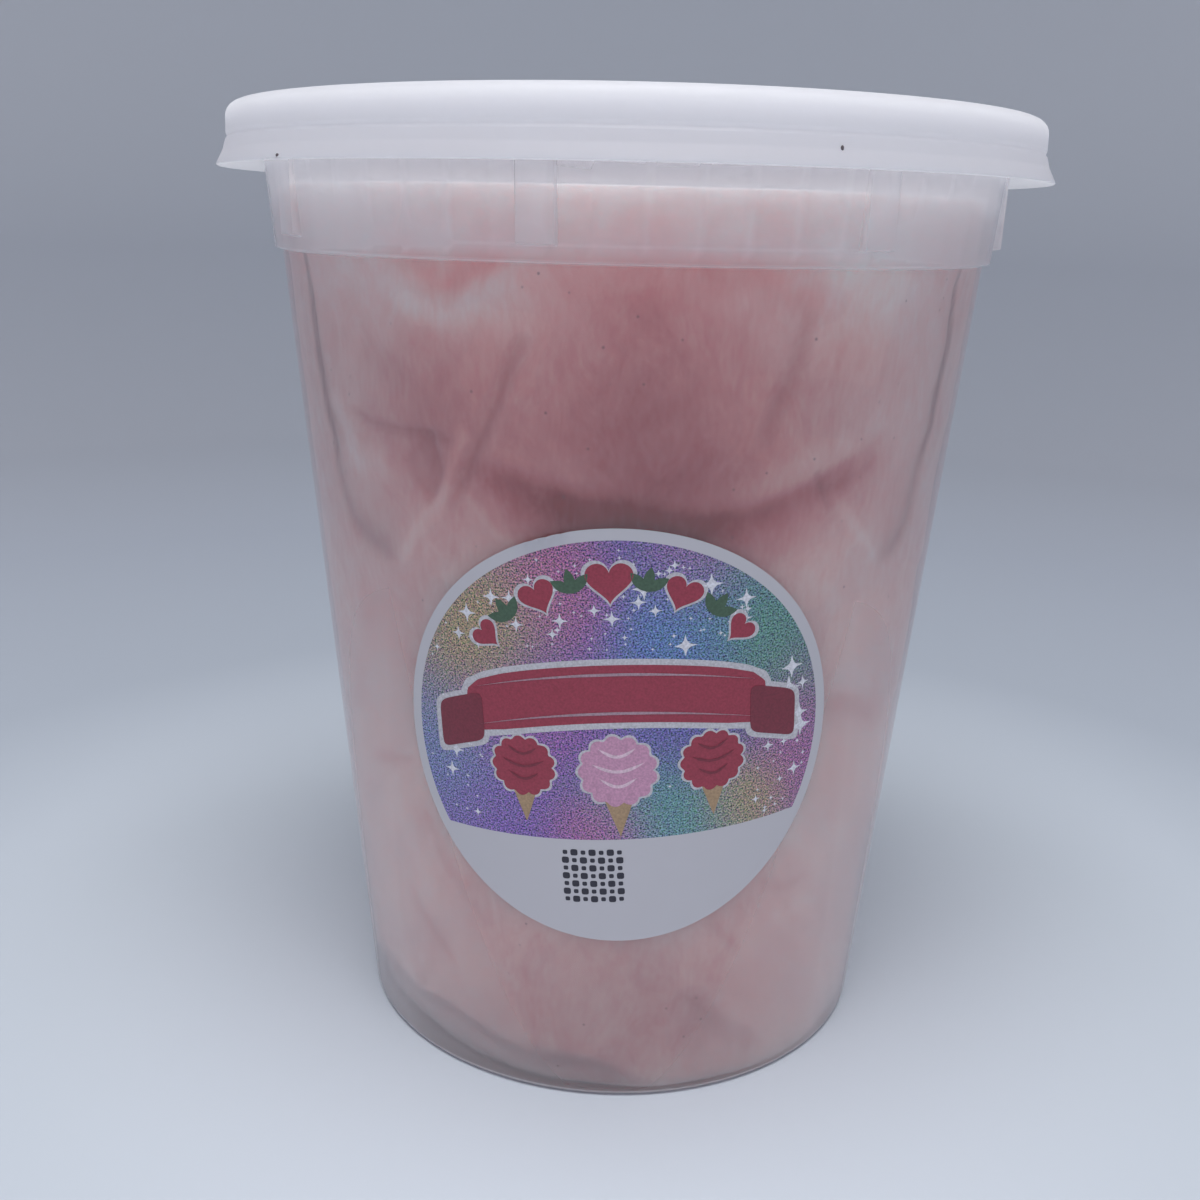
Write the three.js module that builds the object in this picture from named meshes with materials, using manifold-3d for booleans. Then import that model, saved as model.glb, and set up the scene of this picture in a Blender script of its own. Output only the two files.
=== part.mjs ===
// A lidded plastic tub filled with pink cotton candy, with a round paper label on its front.
// Millimetres, +Z up. The origin is the middle of the foot and the front looks along -Y.

import * as THREE from 'three'
import { mergeVertices } from 'three/addons/utils/BufferGeometryUtils.js'
import Module from 'manifold-3d'

// ---- Driving dimensions ----

const FLATS = 56 // flats round every turned piece, as on the collar's grip band
const WALL = 0.8 // moulded wall of the tub and the lid
const GAP = 0.3 // clearance between neighbouring pieces

// Tub: a foot ring, a tapered body, a collar one step wider, and a rolled rim.
const FOOT_RADIUS = 42
const FOOT_RING = 4.2 // width of the ring that stands on the table
const FLOOR_LIFT = 1.2 // the floor inside the foot ring is lifted clear of the table
const HEEL_RADIUS = 43.1
const HEEL_HEIGHT = 1.4
const NECK_RADIUS = 54
const NECK_HEIGHT = 125
const COLLAR_STEP = 1.1
const INNER_LEDGE = 126.8 // the step inside lies a little above the step outside
const RIM_RADIUS = 60.1
const RIM_TOP = 143.8
const RIM_DROP = 2.6 // how far the rolled edge hangs down

// Lugs: upright ribs round the collar that the stacked tubs rest on.
const LUG_COUNT = 8
const LUG_FIRST = -11.8 // degrees from the front towards +X
const LUG_WIDTH = 4.9
const LUG_PROUD = 1.15
const LUG_BOTTOM = 127.1
const LUG_ROOT = 0.4 // how deep each rib reaches into the wall

// Lid: a sunk panel, a channel over the rim, and a skirt that flares to a thin lip.
const PANEL_UNDER = 134.1
const LID_TOP = 145
const CHANNEL_TOP = LID_TOP - WALL - 0.1
const SKIRT_INNER = 60.5
const SKIRT_OUTER = 61.3
const SNAP_HEIGHT = 140.3 // bead inside the skirt that catches under the rim
const SNAP_BITE = 0.55
const LIP_RADIUS = 63
const LIP_HEIGHT = 136.4
const LIP_THICK = 0.6
const CROWN_ROLL = 2 // radius of the rounded outer top edge
const STACK_RING = 46.4 // middle of the low ring that centres a tub stacked on top
const STACK_RING_WIDE = 2
const STACK_RING_HIGH = 0.8

// Label: a round sticker laid flat on the tapered wall.
const LABEL_RADIUS = 31.75
const LABEL_HEIGHT = 60.4
const LABEL_THICK = 0.3
const LABEL_RINGS = 4
const LABEL_STEPS = 36

// Cotton candy: one soft plug from the tub's floor to the lid's panel.
const CANDY_ROWS = 20
const CANDY_EDGE = 5 // rounding of its top and bottom edges
// Places where the floss stands back from the wall:
// degrees from the front, height, reach in degrees, reach in mm, depth in mm.
const HOLLOWS = [
  { turn: 5, height: 91, wide: 34, tall: 6, deep: 6 }, // under the swag
  { turn: 8, height: 119, wide: 11, tall: 13, deep: 5 }, // cleft at the top
  { turn: -24, height: 100, wide: 6, tall: 16, deep: 3 },
  { turn: 26, height: 112, wide: 5, tall: 8, deep: 2.5 },
  { turn: -74, height: 108, wide: 16, tall: 22, deep: 3 },
  { turn: 74, height: 108, wide: 16, tall: 22, deep: 3 },
  { turn: -32, height: 3, wide: 46, tall: 9, deep: 6 }, // lifted off the floor
  { turn: 118, height: 66, wide: 30, tall: 7, deep: 4 },
  { turn: 150, height: 112, wide: 16, tall: 16, deep: 5 },
  { turn: 186, height: 84, wide: 34, tall: 7, deep: 5 },
  { turn: 214, height: 30, wide: 20, tall: 12, deep: 4 },
  { turn: 250, height: 58, wide: 24, tall: 8, deep: 4 },
]
const LUMP_DEPTH = 0.9

const POLYPROPYLENE = { color: 0xd9dce4, roughness: 0.3, metalness: 0, transparent: true, opacity: 0.4 }
const LID_PLASTIC = { color: 0xe4e8ee, roughness: 0.42, metalness: 0 }
const LABEL_PAPER = { color: 0xb9a6d8, roughness: 0.55, metalness: 0 }
const PINK_FLOSS = { color: 0xe3a9ae, roughness: 0.95, metalness: 0 }

// ---- Shared shapes ----

const TAPER = (NECK_RADIUS - HEEL_RADIUS) / (NECK_HEIGHT - HEEL_HEIGHT)
const wallRadius = (height) => HEEL_RADIUS + TAPER * (height - HEEL_HEIGHT)
const collarRadius = (height) => wallRadius(height) + COLLAR_STEP
const innerRadius = (height) => (height < INNER_LEDGE ? wallRadius(height) : collarRadius(height)) - WALL

// Points of an arc, with angles in degrees from the direction away from the axis.
function arc(centreRadius, centreHeight, radius, from, to, steps) {
  return Array.from({ length: steps + 1 }, (_, i) => {
    const angle = THREE.MathUtils.degToRad(from + ((to - from) * i) / steps)
    return [centreRadius + radius * Math.cos(angle), centreHeight + radius * Math.sin(angle)]
  })
}

// Turns a profile of [radius, height] points about +Z.
function turned(profile, segments = FLATS) {
  const points = profile.map(([radius, height]) => new THREE.Vector2(radius, height))
  return new THREE.LatheGeometry(points, segments).rotateX(Math.PI / 2)
}

// Moves every vertex of a geometry to place(x, y, z).
function reshape(geometry, place) {
  const position = geometry.attributes.position
  const point = new THREE.Vector3()
  for (let i = 0; i < position.count; i++) {
    point.fromBufferAttribute(position, i)
    position.setXYZ(i, ...place(point.x, point.y, point.z))
  }
  return geometry
}

// ---- Joining solids ----

const solids = await Module()
solids.setup()

function toSolid(geometry) {
  const bare = geometry.clone()
  bare.deleteAttribute('normal')
  bare.deleteAttribute('uv')
  const merged = mergeVertices(bare, 1e-4)
  return new solids.Manifold(
    new solids.Mesh({
      numProp: 3,
      vertProperties: new Float32Array(merged.attributes.position.array),
      triVerts: new Uint32Array(merged.index.array),
    }),
  )
}

function fromSolid(solid) {
  const mesh = solid.getMesh()
  const geometry = new THREE.BufferGeometry()
  geometry.setAttribute('position', new THREE.BufferAttribute(mesh.vertProperties, 3))
  geometry.setIndex(new THREE.BufferAttribute(mesh.triVerts, 1))
  return geometry
}

// ---- Tub ----

function tubShell() {
  const floorEdge = FOOT_RADIUS - FOOT_RING
  const flangeUnder = RIM_TOP - WALL
  const rimInner = RIM_RADIUS - WALL
  const collarFoot = collarRadius(NECK_HEIGHT)
  const outside = [
    [0, FLOOR_LIFT],
    [floorEdge - 1.4, FLOOR_LIFT],
    [floorEdge, 0],
    [FOOT_RADIUS, 0],
    [FOOT_RADIUS + 0.75, 0.4],
    [HEEL_RADIUS, HEEL_HEIGHT],
    [NECK_RADIUS, NECK_HEIGHT],
    [collarFoot - 0.25, NECK_HEIGHT],
    [collarFoot, NECK_HEIGHT + 0.3],
    [collarRadius(flangeUnder), flangeUnder],
    [rimInner, flangeUnder],
    [rimInner, RIM_TOP - RIM_DROP],
    [RIM_RADIUS, RIM_TOP - RIM_DROP],
    [RIM_RADIUS, RIM_TOP - 0.5],
    [RIM_RADIUS - 0.5, RIM_TOP],
  ]
  const inside = [
    [innerRadius(RIM_TOP) + 0.4, RIM_TOP],
    [innerRadius(RIM_TOP - 0.4), RIM_TOP - 0.4],
    [innerRadius(INNER_LEDGE), INNER_LEDGE],
    [wallRadius(INNER_LEDGE) - WALL, INNER_LEDGE - 0.3],
    [innerRadius(HEEL_HEIGHT + 0.4), HEEL_HEIGHT + 0.4],
    [FOOT_RADIUS - 0.4, WALL + 0.1],
    [floorEdge + 0.4, WALL + 0.1],
    [floorEdge - 1, FLOOR_LIFT + WALL],
    [0, FLOOR_LIFT + WALL],
  ]
  return turned([...outside, ...inside])
}

// One upright rib: its section across the wall, drawn out by the rib's width.
function lug(index) {
  const top = RIM_TOP - WALL / 2
  const section = new THREE.Shape([
    new THREE.Vector2(collarRadius(LUG_BOTTOM) - LUG_ROOT, LUG_BOTTOM),
    new THREE.Vector2(collarRadius(LUG_BOTTOM) + LUG_PROUD, LUG_BOTTOM),
    new THREE.Vector2(collarRadius(top) + LUG_PROUD, top),
    new THREE.Vector2(collarRadius(top) - LUG_ROOT, top),
  ])
  const turn = LUG_FIRST + (360 / LUG_COUNT) * index - 90
  return new THREE.ExtrudeGeometry(section, { depth: LUG_WIDTH, bevelEnabled: false })
    .rotateX(Math.PI / 2)
    .translate(0, LUG_WIDTH / 2, 0)
    .rotateZ(THREE.MathUtils.degToRad(turn))
}

function tub() {
  let body = toSolid(tubShell())
  for (let i = 0; i < LUG_COUNT; i++) body = body.add(toSolid(lug(i)))
  return fromSolid(body)
}

// ---- Lid ----

function lid() {
  const plugOuter = (height) => collarRadius(height) - WALL - GAP
  const plugInner = (height) => plugOuter(height) - WALL
  const panelTop = PANEL_UNDER + WALL
  const ringInner = STACK_RING - STACK_RING_WIDE / 2
  const ringOuter = STACK_RING + STACK_RING_WIDE / 2
  const underside = [
    [0, PANEL_UNDER],
    [plugOuter(PANEL_UNDER) - 0.8, PANEL_UNDER],
    [plugOuter(PANEL_UNDER + 0.9), PANEL_UNDER + 0.9],
    [plugOuter(CHANNEL_TOP - 0.4), CHANNEL_TOP - 0.4],
    [plugOuter(CHANNEL_TOP) + 0.4, CHANNEL_TOP],
    [SKIRT_INNER - 0.5, CHANNEL_TOP],
    [SKIRT_INNER, CHANNEL_TOP - 0.6],
    [SKIRT_INNER, SNAP_HEIGHT + 0.5],
    [SKIRT_INNER - SNAP_BITE, SNAP_HEIGHT],
    [SKIRT_INNER + 0.15, SNAP_HEIGHT - 0.6],
    [LIP_RADIUS - LIP_THICK, LIP_HEIGHT],
  ]
  const outside = [
    [LIP_RADIUS, LIP_HEIGHT],
    [SKIRT_OUTER + 0.2, SNAP_HEIGHT - 0.4],
    [SKIRT_OUTER - 0.1, SNAP_HEIGHT],
    [SKIRT_OUTER, SNAP_HEIGHT + 0.5],
    ...arc(SKIRT_OUTER - 0.1 - CROWN_ROLL, LID_TOP - CROWN_ROLL, CROWN_ROLL, 0, 90, 4),
  ]
  const top = [
    ...arc(plugInner(LID_TOP - 1) + 1, LID_TOP - 1, 1, 90, 180, 2),
    [plugInner(panelTop + 0.5), panelTop + 0.5],
    [plugInner(panelTop) - 0.5, panelTop],
    [ringOuter + STACK_RING_HIGH, panelTop],
    [ringOuter, panelTop + STACK_RING_HIGH],
    [ringInner, panelTop + STACK_RING_HIGH],
    [ringInner - STACK_RING_HIGH, panelTop],
    [0, panelTop],
  ]
  return turned([...underside, ...outside, ...top])
}

// ---- Label ----

// Lays a point of the flat sticker on the wall, which is part of a cone and so unrolls flat:
// a distance from the cone's tip stays as it is, and an angle about it grows by 1 / sin(taper).
function ontoWall(across, up, proud) {
  const sine = Math.sin(Math.atan(TAPER))
  const tip = wallRadius(LABEL_HEIGHT) / sine
  const slant = Math.hypot(across, tip + up)
  const turn = Math.atan2(across, tip + up) / sine
  const radius = slant * sine + proud
  const height = LABEL_HEIGHT + (slant - tip) * Math.cos(Math.atan(TAPER))
  return [radius * Math.sin(turn), -radius * Math.cos(turn), height]
}

function label() {
  const ring = (i) => (LABEL_RADIUS * i) / LABEL_RINGS
  const back = Array.from({ length: LABEL_RINGS + 1 }, (_, i) => [ring(i), GAP])
  const face = back.map(([radius]) => [radius, GAP + LABEL_THICK]).reverse()
  return reshape(turned([...back, ...face], LABEL_STEPS), ontoWall)
}

// ---- Cotton candy ----

// How far the floss stands back from the wall at a turn from the front and a height.
function standBack(turn, height) {
  const lumps = Math.sin(3 * turn + 0.07 * height) * Math.sin(0.11 * height - 2 * turn)
  const pits = HOLLOWS.map((hollow) => {
    const away = THREE.MathUtils.euclideanModulo(THREE.MathUtils.radToDeg(turn) - hollow.turn + 180, 360) - 180
    return hollow.deep * Math.exp(-((away / hollow.wide) ** 2) - ((height - hollow.height) / hollow.tall) ** 2)
  })
  return pits.reduce((sum, pit) => sum + pit, LUMP_DEPTH * (1 + lumps))
}

function cottonCandy() {
  const floor = FLOOR_LIFT + WALL + GAP
  const top = PANEL_UNDER - GAP
  const rows = Array.from({ length: CANDY_ROWS + 1 }, (_, i) => {
    const height = floor + ((top - floor) * i) / CANDY_ROWS
    const reach = Math.min(wallRadius(height) - WALL, innerRadius(height)) - GAP
    const fromEnd = Math.min(height - floor, top - height, CANDY_EDGE)
    const rounding = CANDY_EDGE - Math.sqrt(CANDY_EDGE ** 2 - (CANDY_EDGE - fromEnd) ** 2)
    return [reach - rounding, height]
  })
  const profile = [[0, floor], [rows[0][0] / 2, floor], ...rows, [rows.at(-1)[0] / 2, top], [0, top]]
  return reshape(turned(profile), (x, y, z) => {
    const radius = Math.hypot(x, y)
    const keep = radius > 0 ? 1 - (standBack(Math.atan2(x, -y), z) * radius) / innerRadius(z) ** 2 : 1
    return [x * keep, y * keep, z]
  })
}

// ---- The pack ----

function piece(name, geometry, finish) {
  const mesh = new THREE.Mesh(geometry, new THREE.MeshStandardMaterial(finish))
  mesh.name = name
  return mesh
}

const pack = new THREE.Group()
pack.add(
  piece('tub', tub(), POLYPROPYLENE),
  piece('lid', lid(), LID_PLASTIC),
  piece('label', label(), LABEL_PAPER),
  piece('cotton_candy', cottonCandy(), PINK_FLOSS),
)

export default pack
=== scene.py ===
# %% [markdown]
# # A lidded tub of cotton candy
#
# The real thing is a thin, slightly milky plastic tub, shut with a white press-on lid and filled to the brim
# with pink spun sugar. A round paper sticker sits on its front. The measured frame gives every piece its
# place and its size in metres, so this file never fits or moves anything: it only makes finer surfaces around
# the same numbers.

# %% Start from the measured frame
import math

import bpy
import numpy as np
from mathutils import Matrix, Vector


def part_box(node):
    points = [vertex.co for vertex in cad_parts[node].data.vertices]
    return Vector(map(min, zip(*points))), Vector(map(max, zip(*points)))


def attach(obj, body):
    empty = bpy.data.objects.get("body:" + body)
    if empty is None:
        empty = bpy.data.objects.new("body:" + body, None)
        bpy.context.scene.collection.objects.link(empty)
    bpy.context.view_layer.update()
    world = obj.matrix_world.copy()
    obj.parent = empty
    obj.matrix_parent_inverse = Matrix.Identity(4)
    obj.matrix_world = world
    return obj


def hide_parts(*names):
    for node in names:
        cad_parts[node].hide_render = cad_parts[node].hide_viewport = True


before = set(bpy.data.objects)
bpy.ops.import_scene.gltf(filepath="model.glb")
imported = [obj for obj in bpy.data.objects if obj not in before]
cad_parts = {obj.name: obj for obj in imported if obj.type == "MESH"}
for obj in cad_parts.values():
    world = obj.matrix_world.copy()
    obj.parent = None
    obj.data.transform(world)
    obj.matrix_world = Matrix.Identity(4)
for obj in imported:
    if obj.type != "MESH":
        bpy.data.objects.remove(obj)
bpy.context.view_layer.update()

MM = 0.001  # Blender works in metres, and the sizes below are in millimetres

# %% [markdown]
# ## The sizes that the pieces share
#
# Tub, lid, label and candy all meet at the tub's tapered wall, so its taper is worked out once. A few heights
# are read from the frame, and the rest are the maker's own dimensions for a one-quart tub.

# %% Shared sizes, in millimetres
tub_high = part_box("tub")[1]
lid_low, lid_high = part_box("lid")

WALL = 0.8
HEEL_RADIUS, HEEL_HEIGHT = 43.1, 1.4  # where the straight wall starts, above the rounded foot
NECK_RADIUS, NECK_HEIGHT = 54.0, 125.0  # where it ends, under the collar
COLLAR_STEP = 1.1
INNER_LEDGE = 126.8  # where the inside widens into the collar
RIM_TOP = tub_high[2] / MM
LID_TOP = lid_high[2] / MM
LIP_RADIUS = lid_high[0] / MM
LIP_HEIGHT = lid_low[2] / MM + 2.3
PANEL_UNDER = lid_low[2] / MM
TAPER = (NECK_RADIUS - HEEL_RADIUS) / (NECK_HEIGHT - HEEL_HEIGHT)


def wall_radius(height):
    """Outer radius of the tapered wall: it grows evenly with height from the heel to the neck."""
    return HEEL_RADIUS + TAPER * (height - HEEL_HEIGHT)


print("rim top", RIM_TOP, "lid top", LID_TOP, "lip radius", LIP_RADIUS, "panel", PANEL_UNDER)

# %% [markdown]
# ## Small tools
#
# Colours are written as sRGB hex values, as a paint chart or a web page gives them, and Cycles needs them
# linear. Materials are built from nodes, and one helper adds any node with its settings and its links. Two
# curves soften edges everywhere: an S-shaped rise, and a bell.

# %% Colour and node helpers
def linear(hex_colour):
    """sRGB to linear with a full alpha: divide by 12.92 near black, and raise (c + 0.055) / 1.055 to the
    power 2.4 elsewhere."""
    channels = [int(hex_colour[i : i + 2], 16) / 255 for i in (1, 3, 5)]
    return (*[c / 12.92 if c <= 0.04045 else ((c + 0.055) / 1.055) ** 2.4 for c in channels], 1.0)


def new_material(name, shader_nodes, *details):
    """A node material. shader_nodes(add, *details) makes its nodes with add and returns the last shader. add
    makes a node of one kind: sockets gives inputs a value, another node's output, or a node for its first
    output, and settings are the node's own properties."""
    material = bpy.data.materials.new(name)
    material.use_nodes = True
    material.node_tree.nodes.clear()

    def add(kind, sockets=None, **settings):
        node = material.node_tree.nodes.new("ShaderNode" + kind)
        for setting, value in settings.items():
            setattr(node, setting, value)
        for socket, value in (sockets or {}).items():
            value = value.outputs[0] if isinstance(value, bpy.types.Node) else value
            if isinstance(value, bpy.types.NodeSocket):
                material.node_tree.links.new(value, node.inputs[socket])
            else:
                node.inputs[socket].default_value = value
        return node

    add("OutputMaterial", {"Surface": shader_nodes(add, *details)})
    return material


MIX_A, MIX_B, MIX_COLOUR = 6, 7, 2  # a Mix node's colour inputs and its colour output
NOISE_SPAN = {"From Min": 0.3, "From Max": 0.7}  # a Noise node's values hardly leave this range


def s_curve(share):
    """From 0 to 1, flat at both ends: 3 x^2 - 2 x^3, with x cut to that range."""
    share = np.clip(share, 0, 1)
    return 3 * share**2 - 2 * share**3


def hump(offset):
    """A bell curve: 1 in its middle and 0.37 at an offset of one."""
    return np.exp(-(offset**2))


def even_turns(count):
    """As many angles, evenly spaced round a full turn."""
    return np.arange(count) * 2 * math.pi / count


# %% [markdown]
# ## Surfaces from grids
#
# Everything round here is a grid of points: one direction runs round the axis and the other along a profile.
# A mesh needs the points and, for each cell, the numbers of its four corners, which array arithmetic gives at
# once. Where a row lies on the axis it shrinks to a single point, so the surface closes without a hole or a
# pinch.

# %% Grid surfaces
def turned_points(radius, height, turn):
    """Radius, height and turn from the front (-Y) towards +X, to x, y, z."""
    return np.stack([radius * np.sin(turn), -radius * np.cos(turn), height + 0 * turn], axis=-1)


def leaned(across, up, degrees):
    """A place on a flat sheet, turned anticlockwise about the sheet's middle."""
    cosine, sine = math.cos(math.radians(degrees)), math.sin(math.radians(degrees))
    return across * cosine - up * sine, across * sine + up * cosine


def turned_profile(profile, turns):
    """Rows of (radius, height) at each of the turns."""
    turn, radius = np.meshgrid(turns, profile[:, 0])
    return turned_points(radius, profile[:, 1][:, None], turn)


def grid_quads(rows, columns):
    """The four corner numbers of every cell, where columns wrap round: cell (i, j) joins the points (i, j),
    (i, j + 1), (i + 1, j + 1) and (i + 1, j)."""
    row, column = np.meshgrid(np.arange(rows - 1) * columns, np.arange(columns), indexing="ij")
    beside = (column + 1) % columns
    quads = [row + column, row + beside, row + columns + beside, row + columns + column]
    return np.stack(quads, axis=-1).reshape(-1, 4)


def new_piece(name, points, faces, material):
    """A mesh object of one material, from points in millimetres and the corner numbers of its faces."""
    mesh = bpy.data.meshes.new(name)
    mesh.from_pydata((points * MM).tolist(), [], faces)
    mesh.materials.append(material)
    piece = bpy.data.objects.new(name, mesh)
    bpy.context.collection.objects.link(piece)
    print(name, sum(len(face.vertices) - 2 for face in mesh.polygons), "triangles")
    return piece


def grid_piece(name, points, material, values=None, flat=None, sharp_degrees=None):
    """A closed piece from points (rows, columns, 3) whose first and last rows lie on the axis. values are
    numbers or colours kept at each point by name, and flat is each point's place on a flat sheet (the UV
    map)."""
    rows, columns = points.shape[:2]
    inner = points[1:-1].reshape(-1, 3)
    around = np.arange(columns)
    beside = (around + 1) % columns
    start = np.stack([np.full(columns, len(inner)), beside, around], axis=-1)
    last_row = (rows - 3) * columns
    end = np.stack([np.full(columns, len(inner) + 1), last_row + around, last_row + beside], axis=-1)
    faces = grid_quads(rows - 2, columns).tolist() + start.tolist() + end.tolist()
    piece = new_piece(name, np.vstack([inner, points[0, 0], points[-1, 0]]), faces, material)
    mesh = piece.data
    for value_name, value in (values or {}).items():
        colours = value.ndim == 3
        kept = np.concatenate([value[1:-1].reshape(-1, *value.shape[2:]), value[:1, 0], value[-1:, 0]])
        layer = mesh.attributes.new(value_name, "FLOAT_COLOR" if colours else "FLOAT", "POINT")
        layer.data.foreach_set("color" if colours else "value", kept.astype(np.float32).ravel())
    if flat is not None:
        spots = np.vstack([flat[1:-1].reshape(-1, 2), flat[0, 0], flat[-1, 0]])
        corners = np.empty(len(mesh.loops), dtype=np.int32)
        mesh.loops.foreach_get("vertex_index", corners)
        mesh.uv_layers.new(name="sheet").data.foreach_set("uv", spots[corners].astype(np.float32).ravel())
    mesh.shade_smooth()
    if sharp_degrees:
        mesh.set_sharp_from_angle(angle=math.radians(sharp_degrees))
    return piece


def rounded(corners, arc_points=7):
    """A profile from (radius, height, rounding) corners. At a corner where the two legs open by an angle, an
    arc of the rounding's radius touches each leg at rounding / tan(angle / 2) from the corner. A support
    point stands a little before and after each arc, so that smooth shading stays flat along the straight
    parts."""
    corners = np.array(corners, float)
    profile = [corners[0, :2]]
    for (*before, _), (*corner, rounding), (*after, _) in zip(corners, corners[1:], corners[2:]):
        point = np.array(corner)
        back, ahead = before - point, after - point
        back_long, ahead_long = np.linalg.norm(back), np.linalg.norm(ahead)
        back, ahead = back / back_long, ahead / ahead_long
        half = math.acos(np.clip(back @ ahead, -1, 1)) / 2
        touch = min(rounding / math.tan(half), 0.45 * back_long, 0.45 * ahead_long)
        radius = touch * math.tan(half)
        inward = (back + ahead) / np.linalg.norm(back + ahead)
        middle = point + inward * radius / math.sin(half)
        side = np.array([inward[1], -inward[0]])
        side = side if side @ ahead > 0 else -side
        share = np.linspace(half - math.pi / 2, math.pi / 2 - half, arc_points)[:, None]
        arc = middle + radius * (np.sin(share) * side - np.cos(share) * inward)
        profile += [point + back * (touch + min(0.35 * radius, 0.04 * back_long)), *arc,
                    point + ahead * (touch + min(0.35 * radius, 0.04 * ahead_long))]
    return np.array([*profile, corners[-1, :2]])


# %% [markdown]
# ## The camera
#
# A phone held close to the tub, a little lower than its lid, so the front wall narrows strongly towards the
# foot. Near views need a real distance and a matching lens: both come from the outlines of the lid, collar
# and foot.

# %% Camera
CAMERA_AWAY, CAMERA_HEIGHT = 214.0, 130.3
CAMERA_DOWN, CAMERA_LEFT, CAMERA_ROLL = 16.40, 0.97, 1.39  # degrees
LENS = 38.91  # for a 36 mm wide sensor

camera = bpy.data.objects.new("camera", bpy.data.cameras.new("camera"))
bpy.context.collection.objects.link(camera)
camera.data.sensor_width = 36
camera.data.lens = LENS
camera.data.clip_start = 0.01
camera.matrix_world = (
    Matrix.Translation((0, -CAMERA_AWAY * MM, CAMERA_HEIGHT * MM))
    @ Matrix.Rotation(math.radians(CAMERA_LEFT), 4, "Z")
    @ Matrix.Rotation(math.radians(90 - CAMERA_DOWN), 4, "X")
    @ Matrix.Rotation(math.radians(CAMERA_ROLL), 4, "Z")
)
bpy.context.scene.camera = camera

# %% [markdown]
# ## Tub plastic: injection moulded polypropylene
#
# Thin clear polypropylene lets most light straight through and scatters the rest, which gives its milky haze,
# and it has a gloss from the polished mould. Real refraction in a wall of 0.8 mm moves nothing visibly, so a
# mix of plain shaders shows the same with far less noise, and lamps reach the candy behind it: Transparent
# for the clear share, Diffuse and Translucent for the milky share, and Glossy for the mirror. Plastic mirrors
# more at a glancing angle, so the share of the Glossy shader follows Fresnel's law.

# %% Polypropylene
def polypropylene(add):
    """Clear tub plastic, IOR 1.49. The milky share is the milk number times a base share over the cosine of
    the view, as a slanted ray passes more plastic, up to a limit that is higher where there is more milk."""
    milk = add("Attribute", attribute_name="milk").outputs["Fac"]
    glance = add("LayerWeight", {"Blend": 0.5})
    cosine = add("Math", {0: 1.04, 1: glance.outputs["Facing"]}, operation="SUBTRACT")
    veil = add("Math", {0: 0.1, 1: cosine}, operation="DIVIDE")
    share = add("Math", {0: veil, 1: milk}, operation="MULTIPLY")
    limit = add("MapRange", {"Value": milk, "From Min": 1.6, "From Max": 2.4, "To Min": 0.235,
                             "To Max": 0.72})
    haze = add("Math", {0: share, 1: limit}, operation="MINIMUM")
    clear = add("BsdfTransparent", {"Color": linear("#fdfdfe")})
    skin = add("BsdfDiffuse", {"Color": linear("#f6f5f7")})
    onward = add("BsdfTranslucent", {"Color": linear("#fbfbfb")})
    milky = add("MixShader", {0: 0.45, 1: skin, 2: onward})
    body = add("MixShader", {0: haze, 1: clear, 2: milky})
    fresnel = add("Fresnel", {"IOR": 1.49})
    outside = add("Math", {0: milk, 1: 0.85}, operation="MINIMUM")
    mirror = add("Math", {0: fresnel, 1: outside}, operation="MULTIPLY")
    gloss = add("BsdfGlossy", {"Color": linear("#fbfbfc"), "Roughness": 0.26})
    return add("MixShader", {0: mirror, 1: body, 2: gloss})


tub_plastic = new_material("moulded_polypropylene", polypropylene)

# %% [markdown]
# ## The tub
#
# One thin wall goes up from the foot, steps out at the collar, rolls over at the rim and comes back down
# inside. Drawn as one closed outline and turned about the axis it gives the inner and outer faces in one go.
# The collar is not quite round: it has narrow flats, and eight upright lugs that carry a tub stacked on top.
# Both are small changes of the radius, so they are added to the same grid, with extra columns where a lug's
# edge is steep.

# %% Tub shape
FLOOR_LIFT = 1.2
FLATS, FLAT_PHASE = 56, 1.8  # number of flats and the turn of one edge, in degrees
LUGS, LUG_FIRST = 8, -11.8  # number of lugs and the turn of one middle, in degrees
LUG_WIDE, LUG_PROUD, LUG_BOTTOM = 4.9, 1.15, 127.1
LUG_EDGE = 0.16  # half the width of a lug's rounded side
CLEAREST_TURN = 0.07  # radians; the collar is clearest a little right of its front
FLANGE_UNDER = RIM_TOP - WALL
RIM_RADIUS = 60.1


def collar_radius(height):
    return wall_radius(height) + COLLAR_STEP


tub_outside = [
    (0, FLOOR_LIFT, 0), (36.4, FLOOR_LIFT, 1.5), (37.9, 0, 0.5), (42.98, 0, 1.15),
    (NECK_RADIUS, NECK_HEIGHT, 0.3), (NECK_RADIUS + COLLAR_STEP, NECK_HEIGHT, 0.35),
    (collar_radius(FLANGE_UNDER), FLANGE_UNDER, 0.4), (59.3, FLANGE_UNDER, 0.3),
    (59.3, RIM_TOP - 2.6, 0.25), (RIM_RADIUS, RIM_TOP - 2.6, 0.25), (RIM_RADIUS, RIM_TOP, 0.6),
]
tub_inside = [
    (collar_radius(RIM_TOP) - WALL, RIM_TOP, 0.5), (collar_radius(INNER_LEDGE) - WALL, INNER_LEDGE, 0.3),
    (wall_radius(INNER_LEDGE) - WALL, INNER_LEDGE - 0.35, 0.3), (42.27, 0.9, 1.0), (38.3, 0.9, 0.5),
    (36.8, FLOOR_LIFT + WALL, 1.2), (0, FLOOR_LIFT + WALL, 0),
]


def upright_rows(profile, low, high, step):
    """Adds evenly spaced points to the outer straight of a profile between two heights."""
    above = int(np.flatnonzero(profile[:, 1] > high)[0])
    heights = np.arange(low, high, step)
    share = (heights - profile[above - 1, 1]) / (profile[above, 1] - profile[above - 1, 1])
    extra = profile[above - 1] + share[:, None] * (profile[above] - profile[above - 1])
    return np.insert(profile, above, extra, axis=0)


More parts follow.
